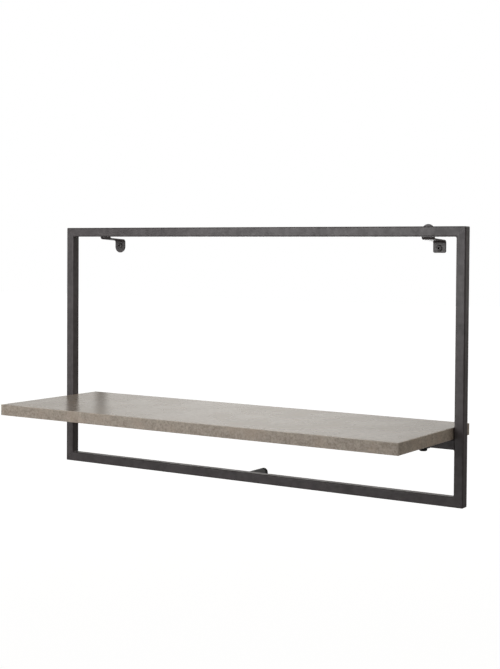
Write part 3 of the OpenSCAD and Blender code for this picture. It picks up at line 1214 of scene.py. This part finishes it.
@dataclass
class Studio:
    """The camera, the lamps, the pale surroundings and the floor."""

    camera_place: Triple = (0.94772, -1.46031, 0.22401)
    camera_turn_deg: Triple = (88.361, -0.4474, 31.4483)
    lens: float = 66.776
    sensor: float = 36.0
    shift: tuple[float, float] = (-0.07399, -0.07018)
    clip: tuple[float, float] = (0.01, 200.0)
    floor_drop: float = 1.25
    floor_side: float = 60.0
    floor_colour: Triple = (0.5, 0.5, 0.5)
    floor_glow_near: float = 0.86
    floor_glow_far: float = 0.95
    floor_near: float = 2.5
    floor_far: float = 9.0
    warm_white: Triple = (1.0, 0.98, 0.94)
    mirrored_back: float = 0.6
    back_edge: float = 0.35
    back_full: float = 0.75
    shadow_middle: float = -0.3
    shadow_half: float = 0.021
    shadow_height: float = 0.15
    shadow_strength: float = 0.62
    shadow_colour: Triple = (0.02, 0.02, 0.02)
    softboxes: tuple[Softbox, ...] = (
        Softbox("key_softbox", -20.0, 12.0, 8.8, side=1.9),
        Softbox("left_softbox", -33.0, 8.0, 4.3, side=0.95, distance=1.6),
        Softbox("high_softbox", -20.0, 30.0, 2.4, side=0.6, distance=1.0),
        Softbox("near_softbox", 5.0, 18.0, 2.5, side=0.8, distance=1.2),
        Softbox("back_softbox", 208.0, -24.0, 20.0, side=1.2),
    )
    glows: tuple[Glow, ...] = (
        Glow(213.0, 2.0, 1.17, power=60.0),
        Glow(224.0, 4.0, 0.23, power=200.0),
        Glow(135.0, 38.0, 1.11),
        Glow(90.0, 38.0, 1.2),
    )

    def camera(self) -> None:
        """Puts the camera where the photograph was taken from."""
        data = bpy.data.cameras.new("camera")
        data.lens = self.lens
        data.sensor_width = self.sensor
        data.shift_x, data.shift_y = self.shift
        data.clip_start, data.clip_end = self.clip
        made = bpy.data.objects.new("camera", data)
        made.location = self.camera_place
        made.rotation_euler = Euler([math.radians(angle) for angle in self.camera_turn_deg])
        bpy.context.scene.collection.objects.link(made)
        bpy.context.scene.camera = made

    @staticmethod
    def seen_plainly(graph: Graph) -> bpy.types.NodeSocket:
        """Adds a mask of the rays that come from the camera, also through glass, and returns it."""
        path = graph.add("ShaderNodeLightPath")
        return graph.maths("MAXIMUM", path.outputs["Is Camera Ray"], path.outputs["Is Transmission Ray"])

    def surroundings(self) -> None:
        """Fills the world: white to the eye and in reflections of the back, and soft glows for the shelf."""
        world = bpy.data.worlds.new("surroundings")
        bpy.context.scene.world = world
        graph = emptied(world)
        towards = graph.add("ShaderNodeTexCoord").outputs["Generated"]
        light: Input = 0.0
        for glow in self.glows:
            middle = tuple(direction(glow.azimuth_deg, glow.elevation_deg))
            cosine = graph.maths("MAXIMUM", graph.vectors("DOT_PRODUCT", towards, middle), 0.0)
            lobe = graph.maths("POWER", cosine, glow.power)
            light = graph.maths("MULTIPLY_ADD", lobe, glow.strength, light)
        behind = graph.ramp(graph.parts(towards)[1], self.back_edge, self.back_full)
        glossy = graph.add("ShaderNodeLightPath").outputs["Is Glossy Ray"]
        mirrored = graph.maths("MULTIPLY", behind, glossy)
        light = graph.maths("MULTIPLY_ADD", mirrored, self.mirrored_back, light)
        seen = self.seen_plainly(graph)
        strength = graph.add("ShaderNodeMix", {0: seen, 2: light, 3: 1.0}, data_type="FLOAT")
        colour = graph.mix(seen, rgba(self.warm_white), (1.0, 1.0, 1.0, 1.0))
        made = graph.add("ShaderNodeBackground", {"Color": colour, "Strength": strength.outputs[0]})
        graph.add("ShaderNodeOutputWorld", {"Surface": made.outputs[0]})

    def floor(self) -> None:
        """Lays the pale floor, which to the eye glows up to white, a little less near the shelf."""
        half = self.floor_side / 2
        corners = np.array([[(-half, -half), (half, -half)], [(-half, half), (half, half)]])
        heights = np.full((2, 2, 1), -self.floor_drop)
        piece = new_piece("floor", [Surface(np.concatenate([corners, heights], axis=-1), wraps=False)])
        made = bpy.data.materials.new("pale_floor")
        graph = emptied(made)
        away = graph.vectors("LENGTH", graph.place())
        lift = graph.ramp(away, self.floor_near, self.floor_far, self.floor_glow_near, self.floor_glow_far)
        lift = graph.maths("MULTIPLY", self.seen_plainly(graph), lift)
        plain = graph.add("ShaderNodeBsdfDiffuse", {"Color": rgba(self.floor_colour)})
        glow = graph.add("ShaderNodeEmission", {"Strength": lift})
        both = graph.add("ShaderNodeAddShader", {0: plain.outputs[0], 1: glow.outputs[0]})
        graph.add("ShaderNodeOutputMaterial", {"Surface": both.outputs[0]})
        piece.data.materials.append(made)

    def dark_strip(self) -> None:
        """Hangs a soft dark strip where the left post's shadow falls on the wall. Only gloss mirrors it."""
        across = self.shadow_middle + np.array([-self.shadow_half, self.shadow_half])
        x, z = np.meshgrid(across, [0.0, self.shadow_height])
        piece = new_piece("shadow_strip", [Surface(np.stack([x, np.zeros_like(x), z], axis=-1), wraps=False)])
        for rays in ("camera", "diffuse", "transmission", "shadow", "volume_scatter"):
            setattr(piece, f"visible_{rays}", False)
        made = bpy.data.materials.new("dark_strip")
        graph = emptied(made)
        place = graph.parts(graph.place())[0]
        aside = graph.maths("ABSOLUTE", graph.maths("SUBTRACT", place, self.shadow_middle))
        dark = graph.ramp(aside, 0.0, self.shadow_half, self.shadow_strength, 0.0)
        clear = graph.add("ShaderNodeBsdfTransparent")
        plain = graph.add("ShaderNodeBsdfDiffuse", {"Color": rgba(self.shadow_colour)})
        both = graph.add("ShaderNodeMixShader", {0: dark, 1: clear.outputs[0], 2: plain.outputs[0]})
        graph.add("ShaderNodeOutputMaterial", {"Surface": both.outputs[0]})
        piece.data.materials.append(made)

    def build(self) -> None:
        """Sets up the camera, the lamps, the surroundings, the floor and the plain view transform."""
        self.camera()
        for softbox in self.softboxes:
            softbox.hang()
        self.surroundings()
        self.floor()
        self.dark_strip()
        bpy.context.scene.view_settings.view_transform = "Standard"


def main() -> None:
    """Builds the studio and the shelf's sub-assemblies."""
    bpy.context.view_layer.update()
    Studio().build()
    kinds = (SteelFrame, LaminatedBoard, WallBrackets, WallScrews, BoardFastening, WallSpacer)
    for assembly in (kind() for kind in kinds):
        assembly.build()
        log.info("built %s", type(assembly).__name__)
    bpy.context.view_layer.update()


if __name__ == "__main__":
    main()
